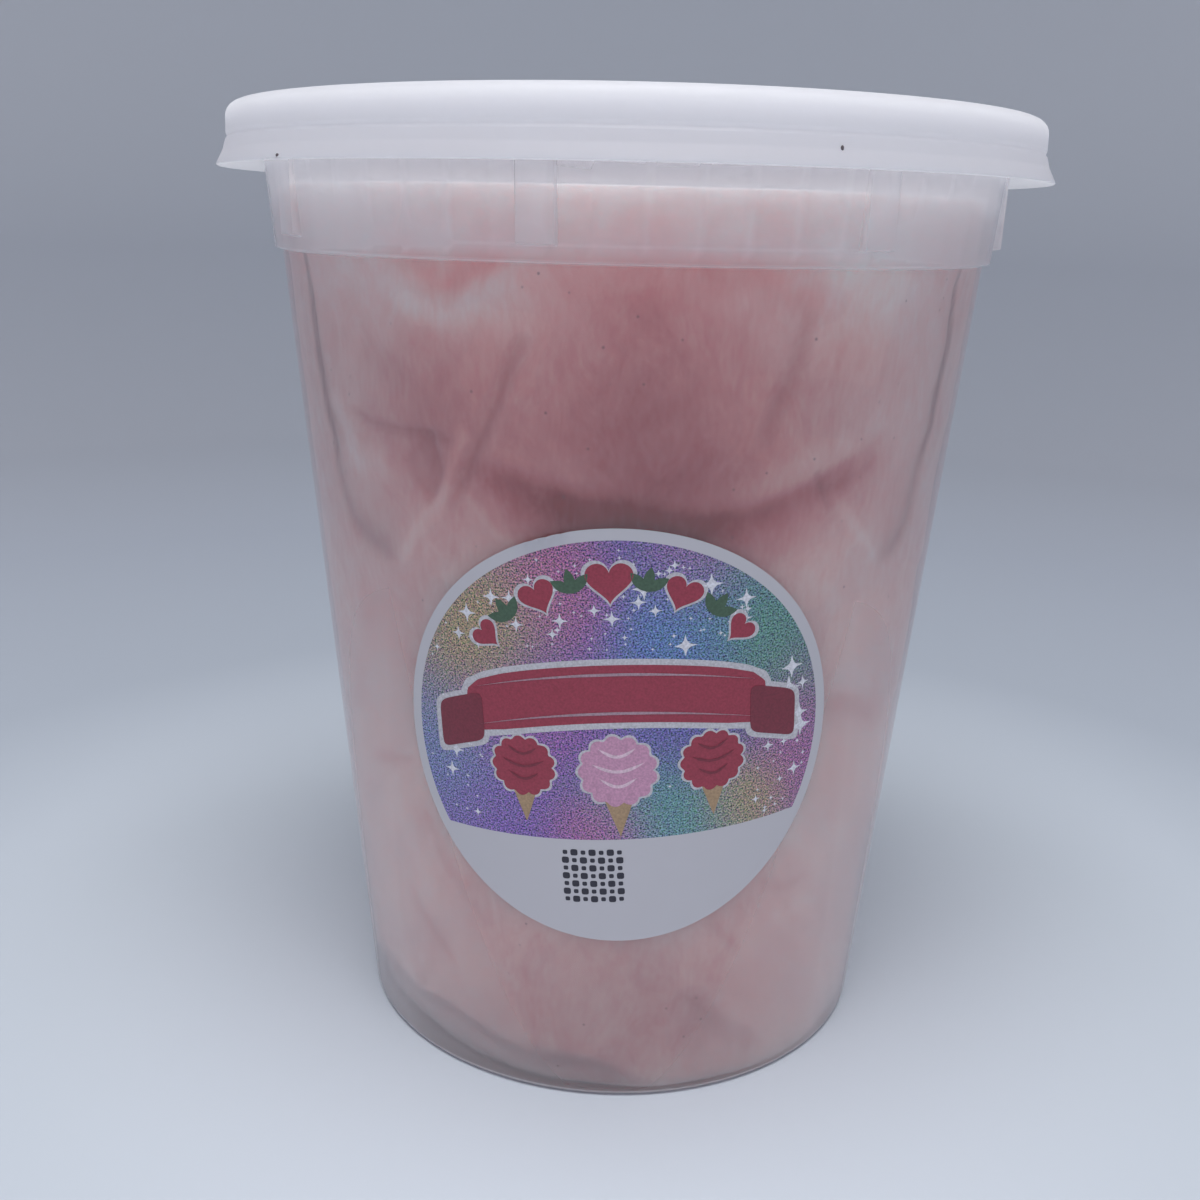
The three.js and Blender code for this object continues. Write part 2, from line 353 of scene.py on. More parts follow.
def lug_rise(turn, height):
    """How far a lug stands out: full on its face, and an S-shaped slope over its sides and its lower end."""
    spacing = 360 / LUGS
    off = (np.degrees(turn) - LUG_FIRST + spacing / 2) % spacing - spacing / 2
    across = np.abs(np.radians(off)) * collar_radius(LUG_BOTTOM)
    side = s_curve((LUG_WIDE / 2 + LUG_EDGE - across) / (2 * LUG_EDGE))
    return LUG_PROUD * side * s_curve((height - LUG_BOTTOM + LUG_EDGE) / (2 * LUG_EDGE))


def flat_drop(turn):
    """Depth of a flat below the round: zero at its edges and greatest in its middle, as a chord below its
    arc."""
    half = math.pi / FLATS
    off = (turn - math.radians(FLAT_PHASE)) % (2 * half) - half
    return collar_radius(LUG_BOTTOM) * (1 - math.cos(half) / np.cos(off))


def tub_turns():
    """Columns: six to each flat, and five more across each side of every lug."""
    even = np.radians(FLAT_PHASE) + even_turns(FLATS * 6)
    middles = np.radians(LUG_FIRST + np.arange(LUGS) * 360 / LUGS)
    slope = np.array([-1, -0.5, 0, 0.5, 1]) * LUG_EDGE
    edges = np.concatenate([slope - LUG_WIDE / 2, slope + LUG_WIDE / 2]) / collar_radius(LUG_BOTTOM)
    extra = (middles[:, None] + edges).ravel()
    return np.unique(np.round(np.concatenate([even, extra]) % (2 * math.pi), 6))


def flat_milk(turn):
    """Milkiness of each flat: a number of its own between 0.35 and 1.65, and more along its edges, so that
    the facets can be told apart."""
    numbers = np.random.default_rng(5).uniform(0.35, 1.65, FLATS)
    wide = 2 * math.pi / FLATS
    spot = (turn - math.radians(FLAT_PHASE)) % (2 * math.pi) / wide
    from_edge = np.abs(spot - np.round(spot)) * wide * collar_radius(LUG_BOTTOM)
    return numbers[spot.astype(int) % FLATS] + 0.7 * (from_edge < 0.3)


def collar_milk(turn):
    """The collar's flats differ, and all of them look whiter towards the sides than at the front."""
    from_front = (turn + math.pi) % (2 * math.pi) - math.pi - CLEAREST_TURN
    return 2.6 + 1.1 * flat_milk(turn) + 1.5 * (1 - hump(from_front / 0.4))


def tub_points():
    """The turned outline with its lugs and flats, and how milky each point is. The milky share sits in the
    outer skin, once; the inside only has some on its floor, which is seen through the wall. There is more of
    it in the thick corners: the lugs, the collar's lower edge, and the foot."""
    profile = rounded(tub_outside + tub_inside)
    profile = upright_rows(profile, LUG_BOTTOM - 3 * LUG_EDGE, LUG_BOTTOM + 3 * LUG_EDGE, LUG_EDGE / 2)
    turn, radius = np.meshgrid(tub_turns(), profile[:, 0])
    height = np.broadcast_to(profile[:, 1][:, None], radius.shape)
    fade_low = np.clip((height - NECK_HEIGHT - 0.6) / 0.8, 0, 1)
    fade_high = np.clip((FLANGE_UNDER - 0.5 - height) / 0.8, 0, 1)
    outer = np.arange(len(profile))[:, None] < np.argmax(profile[:, 0])
    on_collar = fade_low * fade_high * outer
    lugs = lug_rise(turn, height) * fade_high * outer * (radius < 58)
    step_line = hump((height - NECK_HEIGHT - 0.25) / 0.45) + 0.4 * hump((height - LUG_BOTTOM) / 0.25)
    foot = 1.2 * np.clip((3.6 - height) / 2.4, 0, 1) + 2.4 * (height < 0.9)
    milk = outer * (1 + on_collar * collar_milk(turn) + 2.2 * lugs / LUG_PROUD + 3.0 * step_line + foot)
    milk = milk + 0.6 * ((radius < 42) & (height < 3) & ~outer)
    return turned_points(radius + lugs - flat_drop(turn) * on_collar, height, turn), milk


tub_grid, tub_milk = tub_points()
tub = grid_piece("tub_shell", tub_grid, tub_plastic, values={"milk": tub_milk}, sharp_degrees=40)
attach(tub, "root")
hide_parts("tub")

# %% [markdown]
# ## Lid plastic: low-density polyethylene
#
# The lid is softer and whiter than the tub. Light enters it and comes out again close by, so its edges glow a
# little: that is subsurface scattering. Its satin skin comes from a mould that isn't polished.

# %% Polyethylene
def polyethylene(add):
    """Natural white lid plastic: satin, IOR 1.51, with light spreading about a millimetre under the skin."""
    place = add("TexCoord").outputs["Object"]
    flow = add("TexNoise", {"Vector": place, "Scale": 1 / (22 * MM), "Detail": 2.0})
    rough = add("MapRange", {"Value": flow, "To Min": 0.34, "To Max": 0.48})
    grain = add("TexNoise", {"Vector": place, "Scale": 1 / (0.5 * MM), "Detail": 3.0})
    bump = add("Bump", {"Height": grain, "Strength": 0.12, "Distance": 0.02 * MM})
    skin = add("BsdfPrincipled", {
        "Base Color": linear("#f0f0f3"), "Roughness": rough, "IOR": 1.51,
        "Subsurface Weight": 0.5, "Subsurface Radius": (1.0, 0.95, 0.9), "Subsurface Scale": 3.0 * MM,
        "Normal": bump.outputs["Normal"]})
    through = add("BsdfTranslucent", {"Color": linear("#fbfbfc")})
    return add("MixShader", {0: 0.8, 1: skin, 2: through})


lid_plastic = new_material("moulded_polyethylene", polyethylene)

# %% [markdown]
# ## The lid
#
# A sunk panel plugs the mouth, a channel takes the rim, and the skirt flares to a thin lip that a thumb can
# lift. The shallow crease outside is where the bead that holds the lid is pressed inwards. Again one closed
# outline, turned.

# %% Lid shape
CHANNEL_TOP = LID_TOP - WALL - 0.1
SKIRT_INNER = 60.5
PANEL_TOP = PANEL_UNDER + WALL
FLARE_RADIUS, FLARE_HEIGHT = 61.9, 138.5  # below this point the skirt flares into its lip


def plug_radius(height):
    """Outer radius of the plug, which fits the tub's mouth with a clearance of 0.3 mm."""
    return collar_radius(height) - WALL - 0.3


lid_outline = [
    (0, PANEL_UNDER, 0), (plug_radius(PANEL_UNDER), PANEL_UNDER, 0.9),
    (plug_radius(CHANNEL_TOP), CHANNEL_TOP, 0.5), (SKIRT_INNER, CHANNEL_TOP, 0.5),
    (SKIRT_INNER, 140.9, 0.3), (59.95, 140.3, 0.3), (60.6, 139.7, 0.3),
    (LIP_RADIUS - 0.62, LIP_HEIGHT, 0.12), (LIP_RADIUS, LIP_HEIGHT, 0.2),
    (FLARE_RADIUS, FLARE_HEIGHT, 2.0), (61.47, 139.95, 0.4), (61.16, 140.35, 0.3), (61.34, 140.85, 0.4),
    (61.22, LID_TOP, 2.0), (plug_radius(LID_TOP) - WALL, LID_TOP, 1.1),
    (plug_radius(PANEL_TOP) - WALL, PANEL_TOP, 0.9), (48.2, PANEL_TOP, 0.5), (47.4, PANEL_TOP + 0.8, 0.4),
    (45.4, PANEL_TOP + 0.8, 0.4), (44.6, PANEL_TOP, 0.5), (0, PANEL_TOP, 0),
]
LID_COLUMNS = 320

lid = grid_piece("lid_cap", turned_profile(rounded(lid_outline), even_turns(LID_COLUMNS)), lid_plastic,
                 sharp_degrees=40)
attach(lid, "root")
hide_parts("lid")

# %% [markdown]
# ## Two specks of dirt
#
# Two dark crumbs stick to the wall of the lid. Each is a squashed ball half sunk in the plastic, as a grain
# too small for a shape of its own still throws a highlight and a shadow that a painted dot wouldn't.

# %% Specks
def speck_points(turn_degrees, height, half_wide, half_tall):
    """An ellipsoid on the lid's wall: its half sizes run round the wall, up, and 0.15 mm outwards."""
    around, rise = np.meshgrid(even_turns(14), np.linspace(-math.pi / 2, math.pi / 2, 9))
    right = half_wide * np.cos(rise) * np.sin(around)
    on_skin = np.interp(height, (LIP_HEIGHT, FLARE_HEIGHT), (LIP_RADIUS, FLARE_RADIUS))
    out = on_skin + 0.15 * np.cos(rise) * np.cos(around)
    return np.stack([*leaned(right, -out, turn_degrees), height + half_tall * np.sin(rise)], axis=-1)


def dry_dirt(add):
    """A dry crumb: dark brown grey, quite rough, mottled over a fifth of a millimetre."""
    place = add("TexCoord").outputs["Object"]
    mottle = add("TexNoise", {"Vector": place, "Scale": 1 / (0.2 * MM)})
    colour = add("Mix", {0: mottle, MIX_A: linear("#3a3334"), MIX_B: linear("#6d6266")}, data_type="RGBA")
    return add("BsdfPrincipled", {"Base Color": colour.outputs[MIX_COLOUR], "Roughness": 0.8})


dirt = new_material("dry_dirt", dry_dirt)
specks = [("lid_speck_left", (-45.1, 136.9, 0.3, 0.22)), ("lid_speck_right", (22.5, 138.6, 0.2, 0.32))]
for name, place in specks:
    speck = grid_piece(name, speck_points(*place), dirt)
    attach(speck, "root")
    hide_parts("lid")

# %% [markdown]
# ## The candy's relief and colour
#
# Spun sugar is a soft web that was folded over and pressed into the tub. Where it meets the wall it lies flat
# against the plastic, and between those places it stands back in folds, clefts and hollows. So the candy is
# three numbers for each point of the wall: how far the floss stands back; how full its pink is (rose), which
# is partly the floss's own tone and partly painted shade and light, fuller in hollows and under the lid's
# overhang and paler towards the top, where light comes in through the lid; and how much painted shade lies in
# creases, under the line where the floss leaves the wall, and low down. All three are sums of wide waves,
# soft bells, and marks drawn along paths.

# %% Candy grid and waves
CANDY_COLUMNS, CANDY_ROWS = 460, 196
CANDY_FLOOR = 0.78  # in the trough round the raised middle of the tub's floor
CANDY_TOP = PANEL_UNDER - 0.05
chance = np.random.default_rng(11)


def candy_turns():
    """Columns from -180 to 180 degrees, set twice as close on the front 140 degrees as on the back."""
    even = np.linspace(-math.pi, math.pi, 2001)
    close = 1 + 1 / (1 + np.exp((np.abs(even) - math.radians(70)) / 0.12))
    reached = np.concatenate([[0], np.cumsum((close[1:] + close[:-1]) / 2)])
    return np.interp(np.arange(CANDY_COLUMNS) / CANDY_COLUMNS * reached[-1], reached, even)


candy_turn, candy_height = np.meshgrid(
    candy_turns(), CANDY_FLOOR + (CANDY_TOP - CANDY_FLOOR) * np.linspace(0, 1, CANDY_ROWS))


def waves(count, rounds, pitches):
    """Soft random relief of about unit size: a sum of sine waves. Each goes a whole number of times round the
    tub, so that it meets itself at the back, and climbs with a pitch in millimetres drawn from pitches."""
    total = np.zeros_like(candy_turn)
    for _ in range(count):
        around = chance.integers(rounds[0], rounds[1] + 1)
        climb = 2 * math.pi / chance.uniform(*pitches) * chance.choice([-1, 1])
        total += np.sin(around * candy_turn + climb * candy_height + chance.uniform(0, 2 * math.pi))
    return total / math.sqrt(count / 2)


# %% [markdown]
# ## Marks drawn along paths
#
# A path is a few points on the wall, given as turn in degrees and height in millimetres, joined smoothly. A
# *ledge* starts sharply at its path and fades out on its right, as where one fold lies over another. A *band*
# is a soft stripe with the path in its middle. A *bell* is a round soft spot. The distance of every grid
# point to the path, with a sign for the side, shapes them all.

# %% Paths and marks
FAR_OFF = 28.0  # mm; every mark has faded out this far from its path


def smooth_path(stops, count=48):
    """A smooth line through a few stops: each coordinate is a cubic through its neighbours (Catmull and
    Rom's)."""
    stops = np.array(stops, float)
    padded = np.vstack([2 * stops[0] - stops[1], stops, 2 * stops[-1] - stops[-2]])
    spot = np.linspace(0, len(stops) - 1 - 1e-9, count)
    index = spot.astype(int)
    t = (spot - index)[:, None]
    a, b, c, d = (padded[index + k] for k in range(4))
    return 0.5 * (2 * b + (c - a) * t + (2 * a - 5 * b + 4 * c - d) * t**2 + (3 * b - a - 3 * c + d) * t**3)


def offset_from(stops):
    """Signed distance in mm to a smooth path on the unrolled wall, positive to its right; how far along, from
    0 to 1; and a fade over the first and the last fifth. The grid wavers a little under the path. Points
    more than FAR_OFF outside the path's own box count as endlessly far, which saves most of the work."""
    path, turn, height = smooth_path(stops), candy_turn + waver, candy_height + waver * 30
    line = np.stack([np.radians(path[:, 0]) * wall_radius(path[:, 1]), path[:, 1]], axis=-1)
    low, high = line.min(axis=0) - FAR_OFF, line.max(axis=0) + FAR_OFF
    centre = np.radians(path[:, 0].mean())
    across = ((turn - centre + math.pi) % (2 * math.pi) - math.pi + centre) * wall_radius(height)
    close = (across > low[0]) & (across < high[0]) & (height > low[1]) & (height < high[1])
    x, y = across[close], height[close]
    best = np.full(x.shape, 1e9)
    side, along = np.ones(x.shape), np.zeros(x.shape)
    for k, (start, end) in enumerate(zip(line, line[1:])):
        step = end - start
        t = np.clip(((x - start[0]) * step[0] + (y - start[1]) * step[1]) / (step @ step), 0, 1)
        dx, dy = x - start[0] - t * step[0], y - start[1] - t * step[1]
        far = np.hypot(dx, dy)
        closer = far < best
        best = np.where(closer, far, best)
        side = np.where(closer, np.where(dx * step[1] < dy * step[0], -1, 1), side)
        along = np.where(closer, (k + t) / (len(line) - 1), along)
    off, share = np.full(turn.shape, 1e9), np.zeros(turn.shape)
    off[close], share[close] = best * side, along
    return off, share, s_curve(np.minimum(share, 1 - share) / 0.2)


def ledge(stops, size):
    """size is (reach, edge): an S-shaped step over edge mm across the path times a fade over reach mm to its
    right. Either may be a pair, for the start and the end of the path."""
    off, along, ends = offset_from(stops)
    reach, edge = (np.interp(along, (0, 1), value) if isinstance(value, tuple) else value for value in size)
    step = 1 / (1 + np.exp(-np.clip(off / edge, -30, 30)))
    return step * np.exp(-((np.maximum(off, 0) / reach) ** 1.4)) * ends


def band(stops, reach):
    """A stripe: a bell curve across the path, reach mm to each side."""
    off, _, ends = offset_from(stops)
    return hump(off / reach) * ends


def bell(place, size):
    """A soft spot: place is turn and height, size is degrees across and millimetres up."""
    off = (np.degrees(candy_turn) - place[0] + 180) % 360 - 180
    return hump(off / size[0]) * hump((candy_height - place[1]) / size[1])


waver = 0.0025 * waves(30, (8, 30), (8, 30))  # hand-laid floss has no ruled lines

# %% [markdown]
# ## The marks on the front
#
# Each line gives the kind of mark, its path or place, its size in millimetres (a bell's width in degrees),
# and then what it adds: standing back in millimetres, rose, and painted shade. Rose added in a cleft or
# hollow is painted shade too. Negative rose is a paler, thicker lap of floss, and behind the collar it is
# painted light.

# %% Front marks
SWAG = [(-34, 103.2), (-26, 100.4), (-18, 98.2), (-10, 96.4), (-5, 95.3), (0, 94.4), (6, 93.3), (13, 93.6),
        (20, 94.6), (28, 97.2), (34, 99.4), (40, 101.6), (47, 105.6)]
ABOVE_SWAG = [(turn, height + 2.6) for turn, height in SWAG[1:]]
LEFT_PART = [(-37, 82.8), (-41.2, 83.1), (-45.4, 83.7), (-50, 85.2), (-54.2, 87.8), (-57.3, 92.6),
             (-58.2, 99.7), (-59.4, 107.6), (-60.1, 114.8), (-60.1, 126), (-60, 138)]
RIGHT_PART = [(60, 138), (59.8, 124.9), (61.3, 119.7), (61.5, 114.4), (60.5, 107.2), (60.3, 100.7),
              (58.6, 94.3), (57.8, 90.1), (55.7, 86.7), (52.5, 84.5), (48.1, 83.9), (43.5, 84.8)]
FRONT_MARKS = [
    # the lower edge of the big upper lobe, which sags across the front, and the cleft under it, where a
    # deeper rose and some grey are painted shade
    (ledge, SWAG, ((3, 7), (0.9, 0.3)), 0.45, 0.42, 0),
    (bell, (1, 91), (17, 6.5), 0, 0.42, 0),
    (bell, (15, 97), (20, 5.5), 0, 0.08, 0.06),
    (bell, (-31, 106), (11, 8), 0.1, 0.15, 0.05),
    (bell, (-42, 97), (9, 9), 0, 0.05, 0),
    (bell, (-38, 84), (9, 8), 0, 0.06, 0.02),
    (bell, (26, 106), (9, 8), 0, 0.02, 0.05),
    (bell, (28, 120), (13, 6), 0, -0.08, 0),
    (bell, (-30, 119.5), (8, 3), -0.1, -0.06, 0),
    # painted light: paler floss behind the collar on both sides of a pinker middle
    (bell, (-13.5, 119), (6, 4), -0.1, -0.1, 0),
    (bell, (-38, 124), (19, 7), 0, -0.12, 0),
    (bell, (38, 124), (19, 7), 0, -0.12, 0),
    (bell, (4, 124), (13, 9), 0, 0.06, 0),
    (band, ABOVE_SWAG, 1.9, 0, -0.09, 0),
    (band, [(29, 95.5), (32.7, 96.2), (37.1, 97.1), (40.8, 98.6), (44.5, 101.5)], 0.9, 0.3, 0.1, 0.05),
    # where the floss parts from the wall towards each side, with a line of painted shade along the parting
    (ledge, LEFT_PART, ((5, 0.6), (0.5, 0.16)), 0.7, 0.04, 0.42),
    (ledge, RIGHT_PART, ((0.6, 4.2), (0.16, 0.45)), 0.7, 0.04, 0.42),
    (band, LEFT_PART[5:], 0.42, 0, 0, 0.45),
    (band, RIGHT_PART[:7], 0.42, 0, 0, 0.45),
    (bell, (-47, 106), (12, 20), 0.8, 0.02, 0.06),
    (bell, (52, 104), (9, 18), 0.5, 0, 0.02),
    (band, [(-56, 107), (-54.2, 104.1), (-50.9, 101.9), (-48.4, 97.2), (-42.2, 97), (-34.1, 94.3)],
            2.3, -0.3, -0.13, -0.1),
    # creases, laps and a twisted strand on the left
    (band, [(-53, 103.9), (-51.1, 103.5), (-41.2, 102.7), (-34.9, 102.5), (-29, 102.2), (-24, 101.4)],
            0.75, 0.4, 0.1, 0.12),
    (ledge, [(-32, 104), (-30.2, 102.2), (-29.3, 100), (-28.6, 97.5), (-30.3, 93.6), (-32.5, 91.8)],
             (5, 0.3), 0.8, 0.16, 0.1),
    (band, [(-23.4, 104.2), (-24.2, 102.9), (-26.9, 98.2), (-28, 94.8), (-32.7, 90.5), (-37.1, 85.4),
            (-40, 81.6)], 0.95, -0.3, -0.1, -0.06),
    (band, [(-14, 117), (-16, 113), (-22.2, 101.3), (-25, 96.9), (-28, 91.4)], 1, 0.6, 0.08, 0.12),
    (band, [(-17.2, 111.5), (-21.5, 104), (-26.4, 95.2)], 0.5, 0, -0.09, -0.03),
    (band, [(-27, 96), (-22, 92), (-17, 88), (-13, 84)], 0.5, 0, -0.08, 0),
    (ledge, [(-12, 128), (-20.5, 123.3), (-27, 121), (-33, 124.5), (-38, 129)], (4.2, 0.6), 1.2, 0.26, 0),
    (band, [(-36, 121), (-30.6, 118.7), (-25.5, 117.6), (-20, 120.4), (-12, 126.5)], 2, -0.2, -0.13, 0),
    (band, [(-47, 113), (-41, 112), (-37.9, 111.1), (-33, 107.6)], 2.2, 0.3, 0.07, 0.06),
    # the deep middle of the lobe
    (bell, (2, 109), (9, 19), 1, 0.05, 0),
    (bell, (3, 122), (4, 3), 0.4, 0.07, 0),
    (band, [(6, 125.6), (12, 124.6), (18, 123.5), (24, 121.2), (33, 120.2)], 2, 0.5, 0.1, 0.03),
    (band, [(4, 129.5), (14, 128.6), (24, 127)], 1.8, 0, -0.07, 0),
    (band, [(26, 121), (25, 118), (24, 113), (22, 108), (19, 101)], 1.3, 0.5, 0.08, 0.09),
    (band, [(33.5, 95.4), (39.2, 90.6), (43.4, 87.2), (48, 83.2)], 0.95, -0.2, -0.12, -0.05),
    (band, [(29.8, 99), (30.8, 97.6), (34.4, 92.3)], 0.55, 0.3, 0.06, 0.16),
    # the lower half
    (band, [(33, 63.2), (40, 63), (45, 62), (52, 60), (60, 55.5)], 2.1, 0.7, 0.1, 0.05),
    (ledge, [(62, 58.8), (52, 63.2), (45, 65.2), (34, 66)], (2.6, 0.5), 0.3, -0.06, 0),
    (bell, (17.5, 12), (4.5, 5), 0.5, 0.08, 0.05),
    (band, [(13, 19), (18, 15.4), (25, 9.6), (37, 4.8)], 1.5, 0.4, 0.06, 0.08),
    (band, [(18.6, 32), (22, 28), (26, 24)], 0.7, 0.2, 0.1, 0),
    (band, [(-55, 48.6), (-53, 49.5), (-47, 50.5), (-39, 52.4)], 0.9, 0.4, 0.09, 0.07),
    (band, [(-40, 47), (-36, 40), (-31, 33.5), (-23, 26)], 1.1, 0.2, 0.06, 0.03),
    (band, [(-36, 34), (-31, 27), (-24, 20.5), (-15, 16)], 0.9, 0.2, -0.08, 0),
    (band, [(-47, 30), (-41, 24), (-33, 19)], 1.2, 0.3, 0.06, 0.02),
    (band, [(24, 40), (30, 43), (37, 41), (40, 36)], 0.8, -0.1, -0.09, 0),
    (band, [(30, 31), (36, 28), (41, 30), (48, 27)], 0.8, -0.1, -0.09, 0),
    (band, [(28, 36.5), (35, 34), (43, 35.5)], 0.8, 0.3, 0.06, 0.05),
]

# %% [markdown]
# ## The marks round the sides and the back
#
# The floss goes on round the tub in the same way: two more sagging lobes, creases that lean, and pale laps.
# Wide soft spots under all of these make the middle of each lobe rosier, and on the front they add painted
# shade: a fuller rose and grey in the middle, under the lid's overhang, and low down at its foot. At its
# foot the floss leaves the wall.

# %% Side and back marks
BACK_MARKS = [
    (ledge, [(84, 74), (98, 67.5), (118, 64), (138, 66.5), (154, 74)], (6, 0.5), 3, 0.3, 0.06),
    (bell, (118, 61), (16, 5), 0.6, 0.16, 0),
    (band, [(86, 76.5), (98, 70), (118, 66.5), (138, 69)], 1.9, 0, -0.08, 0),
    (ledge, [(162, 108), (172, 101.5), (186, 97.5), (206, 96.5), (226, 101), (242, 110)], (6.5, 0.5),
             3.2, 0.32, 0.05),
    (bell, (200, 93), (17, 6), 0.8, 0.18, 0),
    (band, [(172, 104), (186, 100), (206, 99), (226, 103.5)], 1.9, 0, -0.08, 0),
    (ledge, [(100, 133), (103, 118), (107, 104), (117, 92), (131, 85)], ((1.6, 4), 0.25), 0.9, 0.04, 0.6),
    (ledge, [(255, 84), (262, 90), (266, 100), (268, 114), (268, 136)], ((4, 1.5), 0.25), 0.9, 0.04, 0.6),
    (band, [(136, 128), (141, 116), (147, 104), (152, 92)], 1.1, 0.6, 0.09, 0.12),
    (band, [(134, 126), (139, 114), (145, 102)], 0.6, 0, -0.12, 0),
    (band, [(148, 54), (162, 42), (178, 34), (198, 31)], 1.8, 0.8, 0.11, 0.06),
    (ledge, [(222, 67), (240, 60.5), (258, 60), (276, 66)], (3.6, 0.5), 1.8, 0.2, 0.05),
    (band, [(248, 36), (262, 27), (280, 22)], 1.3, 0.4, 0.09, 0.05),
    (band, [(118, 30), (132, 22), (150, 19)], 1.2, 0.4, 0.08, 0.05),
    (band, [(200, 80), (212, 71), (220, 58)], 1, 0.5, 0.08, 0.1),
    (band, [(198, 78), (209, 70), (217, 58)], 0.6, 0, -0.12, 0),
    (band, [(84, 46), (92, 42), (100, 43), (108, 39)], 0.9, -0.1, -0.1, 0),
    (band, [(276, 44), (286, 48), (296, 46)], 0.9, 0.4, 0.08, 0.06),
    (bell, (128, 122), (13, 9), 1.8, 0.16, 0),
    (bell, (190, 121), (12, 9), 1.6, 0.14, 0),
    (bell, (246, 123), (12, 8), 1.6, 0.14, 0),
    (bell, (176, 66), (10, 13), 1, 0.1, 0),
    (bell, (198, 112), (24, 14), 0.6, 0.16, 0),
    (bell, (118, 84), (22, 12), 0.6, 0.1, 0),
]
# painted shade: fuller rose and grey in the middle of the front and low down at its foot; the rest make lobes
# rosier
WIDE_MARKS = [
    (bell, (3, 103), (21, 16), 0, 0.28, 0),
    (bell, (4, 110), (36, 20), 0, 0.09, 0),
    (bell, (-29, 100.5), (15, 9), 0, 0.15, 0),
    (bell, (4, 14), (36, 22), 0, 0.17, 0),
    (bell, (200, 106), (44, 20), 0, 0.16, 0),
    (bell, (118, 76), (36, 20), 0, 0.14, 0),
    (bell, (-2, 11), (36, 14), 0, 0, 0.16),
    (bell, (3, 19), (14, 9), 0, 0, 0.07),
    (bell, (3, 103), (15, 10), 0, 0, 0.08),
    (bell, (34, 104), (12, 9), 0, 0, 0.05),
    (bell, (-30, 101), (12, 7), 0, 0, 0.05),
]
# turn in degrees and height in mm of the line where the floss leaves the wall above the floor
FOOT_LINE = [(-180, 5), (-150, 4), (-110, 4), (-85, 5), (-65, 9), (-50, 11), (-35, 10.5), (-15, 8), (0, 5),
             (12, 3), (25, 1.5), (70, 1.5), (100, 4), (130, 8), (155, 7), (180, 5)]

# %% Adding the marks up
PAINTED_LIGHT_FROM, DOME_FROM = 119, 130.5  # painted light: the floss is painted paler from the first height to its top, where light comes in through the lid; it rounds off from the second


def candy_fields():
    """Standing back in mm, rose and shade at every grid point."""
    lumps = np.maximum(0, 0.5 * waves(26, (1, 5), (50, 140)) - 0.35)
    soft = 0.15 * np.maximum(0, waves(40, (6, 18), (10, 34)) - 0.2)
    mottle = waves(30, (5, 16), (14, 45))
    crinkle = waves(60, (24, 60), (4, 11))
    crinkled = bell((40, 33), (24, 14)) + bell((-40, 34), (26, 14)) * 0.5 + bell((160, 60), (60, 30)) * 0.5
    depth = lumps + soft + 0.14 * crinkled * np.maximum(-crinkle, 0)
    # painted shade: the rose is a little fuller where lumps stand back, and the shade is darker low down
    rose = 0.25 + 0.05 * lumps + 0.018 * mottle + 0.012 * crinkle - 0.035 * crinkled * np.maximum(crinkle, 0)
    shade = 0.11 * hump(candy_height / 30)
    for kind, place, size, deep, pink, dark in WIDE_MARKS + FRONT_MARKS + BACK_MARKS:
        mark = kind(place, size)
        depth, rose, shade = depth + deep * mark, rose + pink * mark, shade + dark * mark
    # painted light: paler towards the top, where light comes in through the lid
    rose = rose * (1 - 0.62 * np.clip((candy_height - PAINTED_LIGHT_FROM) / (CANDY_TOP - PAINTED_LIGHT_FROM), 0, 1) ** 1.2)
    lift = np.interp(np.degrees(candy_turn), *np.transpose(FOOT_LINE)) + 0.5 * mottle
    below = np.clip((lift - candy_height) / lift, 0, 1)
    # painted shade in the gap just under the line where the floss leaves the wall, and a little all the way
    # below it
    under_line = 0.30 * hump((candy_height - lift + 1.9) / 1.9) + 0.16 * np.clip(3 * below, 0, 1)
    shade = shade + np.clip((lift - 2) / 6, 0, 1) * under_line
    depth = depth + 0.22 * lift * below**0.8
    depth = depth + 1.2 * np.clip((candy_height - DOME_FROM) / (CANDY_TOP - DOME_FROM), 0, 1) ** 2.2
    return np.maximum(depth, 0), np.clip(rose, 0, 1), np.clip(shade, 0, 1)


candy_depth, candy_rose, candy_shade = candy_fields()
print("floss stands back by up to", round(float(candy_depth.max()), 1), "mm")
